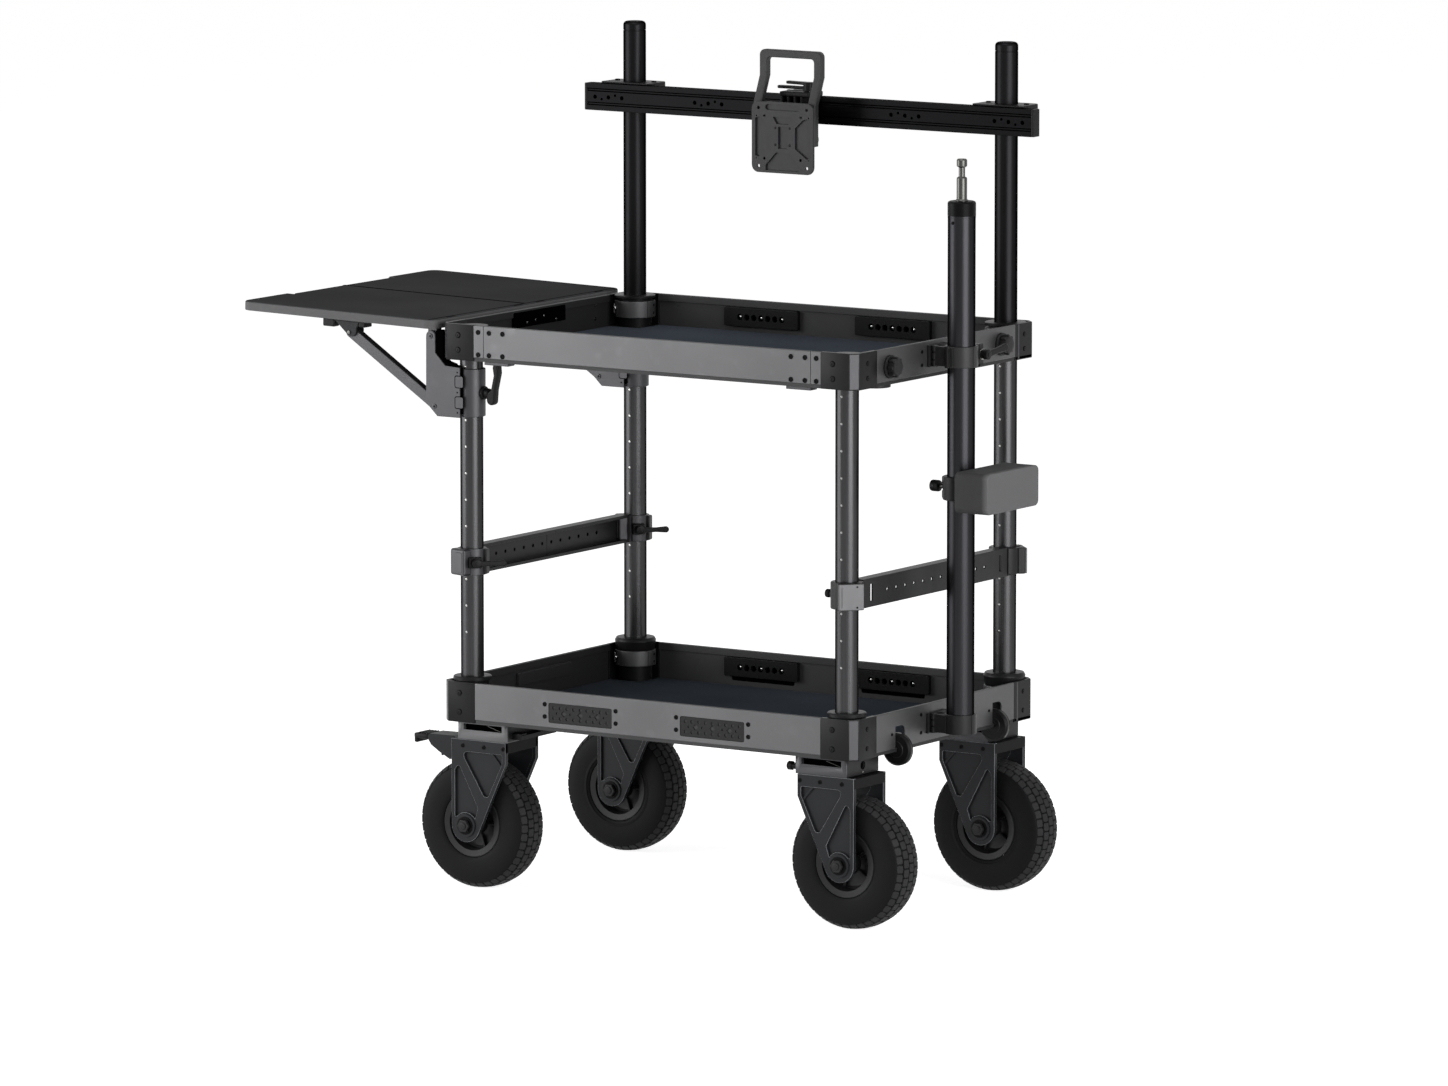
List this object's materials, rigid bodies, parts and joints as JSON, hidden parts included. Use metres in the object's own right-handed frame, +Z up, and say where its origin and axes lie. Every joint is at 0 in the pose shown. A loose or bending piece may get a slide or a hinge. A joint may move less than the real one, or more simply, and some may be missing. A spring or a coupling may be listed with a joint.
{
  "type": "camera cart",
  "caption": "Two-deck rolling camera cart with swivel casters, a monitor bar on rear uprights, a stand mast and a folding side shelf.",
  "frame": {"origin": "middle of the footprint of the whole cart with its shelf up, on the floor", "axes": "+Z up, +X along the front towards the mast, +Y from the front to the monitor bar"},
  "size_m": [1.2588, 0.5254, 1.309],
  "materials": {
    "tray_paint": "mid grey powder coat",
    "corner_paint": "dark grey powder coat",
    "post_metal": "grey anodised",
    "black_tube": "black anodised",
    "dark_fitting": "black powder coat",
    "grey_fitting": "satin grey coat",
    "monitor_metal": "dark grey casting",
    "bright_pin": "polished",
    "box_shell": "fine texture",
    "shelf_board": "matt black",
    "black_plastic": "satin black",
    "caster_fork": "dark casting",
    "rim": "dark casting",
    "tyre": "matt rubber"
  },
  "bodies": {
    "frame": {"lower_tray": "tray_paint", "upper_tray": "tray_paint", "lower_corner_front_left": "corner_paint", "lower_corner_front_right": "corner_paint", "lower_corner_back_left": "corner_paint", "lower_corner_back_right": "corner_paint", "upper_corner_front_left": "corner_paint", "upper_corner_front_right": "corner_paint", "upper_corner_back_left": "corner_paint", "upper_corner_back_right": "corner_paint", "post_front_left": "post_metal", "post_front_right": "post_metal", "post_back_left": "post_metal", "post_back_right": "post_metal", "upright_left": "black_tube", "upright_right": "black_tube", "mast_clamp": "dark_fitting", "shelf_bracket_front": "grey_fitting", "shelf_bracket_back": "grey_fitting", "caster_mount_front_left": "grey_fitting", "caster_mount_front_right": "grey_fitting", "caster_mount_back_left": "grey_fitting", "caster_mount_back_right": "grey_fitting"},
    "monitor_bar": {"monitor_bar": "black_tube"},
    "monitor_carriage": {"monitor_carriage": "monitor_metal"},
    "monitor_head": {"monitor_yoke": "monitor_metal", "monitor_plate": "monitor_metal"},
    "monitor_carriage_lever": {"monitor_carriage_lever": "black_plastic"},
    "mast": {"mast": "black_tube", "mast_pin": "bright_pin"},
    "mast_clamp_lever": {"mast_clamp_lever": "black_plastic"},
    "side_box": {"side_box": "box_shell"},
    "side_box_knob": {"side_box_knob": "black_plastic"},
    "side_shelf": {"side_shelf": "shelf_board"},
    "shelf_strut_front": {"shelf_strut_front": "grey_fitting"},
    "shelf_lever_front": {"shelf_lever_front": "black_plastic"},
    "shelf_strut_back": {"shelf_strut_back": "grey_fitting"},
    "shelf_lever_back": {"shelf_lever_back": "black_plastic"},
    "side_bar_left": {"side_bar_left": "dark_fitting"},
    "side_bar_lever_front_left": {"side_bar_lever_front_left": "black_plastic"},
    "side_bar_lever_back_left": {"side_bar_lever_back_left": "black_plastic"},
    "side_bar_right": {"side_bar_right": "dark_fitting"},
    "side_bar_lever_front_right": {"side_bar_lever_front_right": "black_plastic"},
    "side_bar_lever_back_right": {"side_bar_lever_back_right": "black_plastic"},
    "caster_front_left": {"caster_fork_front_left": "caster_fork"},
    "wheel_front_left": {"wheel_rim_front_left": "rim", "tyre_front_left": "tyre"},
    "caster_front_right": {"caster_fork_front_right": "caster_fork"},
    "wheel_front_right": {"wheel_rim_front_right": "rim", "tyre_front_right": "tyre"},
    "brake_pedal_front": {"brake_pedal_front": "black_plastic"},
    "swivel_lock_front": {"swivel_lock_front": "black_plastic"},
    "caster_back_left": {"caster_fork_back_left": "caster_fork"},
    "wheel_back_left": {"wheel_rim_back_left": "rim", "tyre_back_left": "tyre"},
    "caster_back_right": {"caster_fork_back_right": "caster_fork"},
    "wheel_back_right": {"wheel_rim_back_right": "rim", "tyre_back_right": "tyre"},
    "brake_pedal_back": {"brake_pedal_back": "black_plastic"},
    "swivel_lock_back": {"swivel_lock_back": "black_plastic"}
  },
  "joints": [
    {"name": "monitor_bar_height", "type": "slide", "parent": "frame", "child": "monitor_bar", "axis": [0, 0, 1], "range_m": [-0.19, 0.08]},
    {"name": "monitor_carriage_slide", "type": "slide", "parent": "monitor_bar", "child": "monitor_carriage", "axis": [1, 0, 0], "range_m": [-0.25, 0.25]},
    {"name": "monitor_tilt", "type": "hinge", "parent": "monitor_carriage", "child": "monitor_head", "pos_m": [0.1276, 0.14995, 1.149], "axis": [1, 0, 0], "range_deg": [-15, 20]},
    {"name": "monitor_carriage_lever_turn", "type": "hinge", "parent": "monitor_carriage", "child": "monitor_carriage_lever", "pos_m": [0.1416, 0.17695, 1.2228], "axis": [0, 0, 1], "range_deg": [-60, 60]},
    {"name": "mast_height", "type": "slide", "parent": "frame", "child": "mast", "axis": [0, 0, 1], "range_m": [0, 0.12]},
    {"name": "mast_clamp_lever_turn", "type": "hinge", "parent": "frame", "child": "mast_clamp_lever", "pos_m": [0.5609, 0.0064, 0.857], "axis": [1, 0, 0], "range_deg": [-30, 60]},
    {"name": "side_box_height", "type": "slide", "parent": "mast", "child": "side_box", "axis": [0, 0, 1], "range_m": [-0.15, 0.02]},
    {"name": "side_box_knob_turn", "type": "hinge", "parent": "side_box", "child": "side_box_knob", "pos_m": [0.5076, -0.031, 0.657], "axis": [1, 0, 0], "continuous": true},
    {"name": "side_shelf_fold", "type": "hinge", "parent": "frame", "child": "side_shelf", "pos_m": [-0.2704, 0, 0.857], "axis": [0, -1, 0], "range_deg": [0, 88]},
    {"name": "shelf_strut_front_swing", "type": "hinge", "parent": "frame", "child": "shelf_strut_front", "pos_m": [-0.2634, -0.242, 0.749], "axis": [0, -1, 0], "range_deg": [0, 124]},
    {"name": "shelf_lever_front_turn", "type": "hinge", "parent": "frame", "child": "shelf_lever_front", "pos_m": [-0.19095, -0.227, 0.772], "axis": [1, 0, 0], "range_deg": [-60, 60]},
    {"name": "shelf_strut_back_swing", "type": "hinge", "parent": "frame", "child": "shelf_strut_back", "pos_m": [-0.2634, 0.212, 0.749], "axis": [0, -1, 0], "range_deg": [0, 124]},
    {"name": "shelf_lever_back_turn", "type": "hinge", "parent": "frame", "child": "shelf_lever_back", "pos_m": [-0.19095, 0.227, 0.772], "axis": [1, 0, 0], "range_deg": [-60, 60]},
    {"name": "side_bar_left_height", "type": "slide", "parent": "frame", "child": "side_bar_left", "axis": [0, 0, 1], "range_m": [-0.1, 0.15]},
    {"name": "side_bar_lever_front_left_turn", "type": "hinge", "parent": "side_bar_left", "child": "side_bar_lever_front_left", "pos_m": [-0.19077, -0.24913, 0.511], "axis": [0.7071, -0.7071, 0], "range_deg": [-60, 60]},
    {"name": "side_bar_lever_back_left_turn", "type": "hinge", "parent": "side_bar_left", "child": "side_bar_lever_back_left", "pos_m": [-0.19077, 0.20487, 0.511], "axis": [0.7071, -0.7071, 0], "range_deg": [-60, 60]},
    {"name": "side_bar_right_height", "type": "slide", "parent": "frame", "child": "side_bar_right", "axis": [0, 0, 1], "range_m": [-0.1, 0.15]},
    {"name": "side_bar_lever_front_right_turn", "type": "hinge", "parent": "side_bar_right", "child": "side_bar_lever_front_right", "pos_m": [0.4428, -0.227, 0.511], "axis": [-1, 0, 0], "range_deg": [-60, 60]},
    {"name": "side_bar_lever_back_right_turn", "type": "hinge", "parent": "side_bar_right", "child": "side_bar_lever_back_right", "pos_m": [0.4428, 0.227, 0.511], "axis": [-1, 0, 0], "range_deg": [-60, 60]},
    {"name": "caster_front_left_swivel", "type": "hinge", "parent": "frame", "child": "caster_front_left", "pos_m": [-0.1804, -0.2025, 0.236], "axis": [0, 0, 1], "continuous": true},
    {"name": "wheel_front_left_spin", "type": "hinge", "parent": "caster_front_left", "child": "wheel_front_left", "pos_m": [-0.2124, -0.2025, 0.1016], "axis": [0, 1, 0], "continuous": true},
    {"name": "caster_front_right_swivel", "type": "hinge", "parent": "frame", "child": "caster_front_right", "pos_m": [0.4356, -0.2025, 0.236], "axis": [0, 0, 1], "continuous": true},
    {"name": "wheel_front_right_spin", "type": "hinge", "parent": "caster_front_right", "child": "wheel_front_right", "pos_m": [0.4676, -0.2025, 0.1016], "axis": [0, 1, 0], "continuous": true},
    {"name": "brake_pedal_front_press", "type": "hinge", "parent": "caster_front_left", "child": "brake_pedal_front", "pos_m": [-0.2484, -0.2025, 0.222], "axis": [0, -1, 0], "range_deg": [0, 10]},
    {"name": "swivel_lock_front_pull", "type": "slide", "parent": "frame", "child": "swivel_lock_front", "axis": [-1, 0, 0], "range_m": [0, 0.006], "stiffness_N_per_m": 150},
    {"name": "caster_back_left_swivel", "type": "hinge", "parent": "frame", "child": "caster_back_left", "pos_m": [-0.1804, 0.2025, 0.236], "axis": [0, 0, 1], "continuous": true},
    {"name": "wheel_back_left_spin", "type": "hinge", "parent": "caster_back_left", "child": "wheel_back_left", "pos_m": [-0.2124, 0.2025, 0.1016], "axis": [0, 1, 0], "continuous": true},
    {"name": "caster_back_right_swivel", "type": "hinge", "parent": "frame", "child": "caster_back_right", "pos_m": [0.4356, 0.2025, 0.236], "axis": [0, 0, 1], "continuous": true},
    {"name": "wheel_back_right_spin", "type": "hinge", "parent": "caster_back_right", "child": "wheel_back_right", "pos_m": [0.4676, 0.2025, 0.1016], "axis": [0, 1, 0], "continuous": true},
    {"name": "brake_pedal_back_press", "type": "hinge", "parent": "caster_back_left", "child": "brake_pedal_back", "pos_m": [-0.2484, 0.2025, 0.222], "axis": [0, -1, 0], "range_deg": [0, 10]},
    {"name": "swivel_lock_back_pull", "type": "slide", "parent": "frame", "child": "swivel_lock_back", "axis": [-1, 0, 0], "range_m": [0, 0.006], "stiffness_N_per_m": 150}
  ],
  "couplings": [
    {"joint": "shelf_strut_front_swing", "follows": "side_shelf_fold", "ratio": 1.4},
    {"joint": "shelf_strut_back_swing", "follows": "side_shelf_fold", "ratio": 1.4}
  ]
}
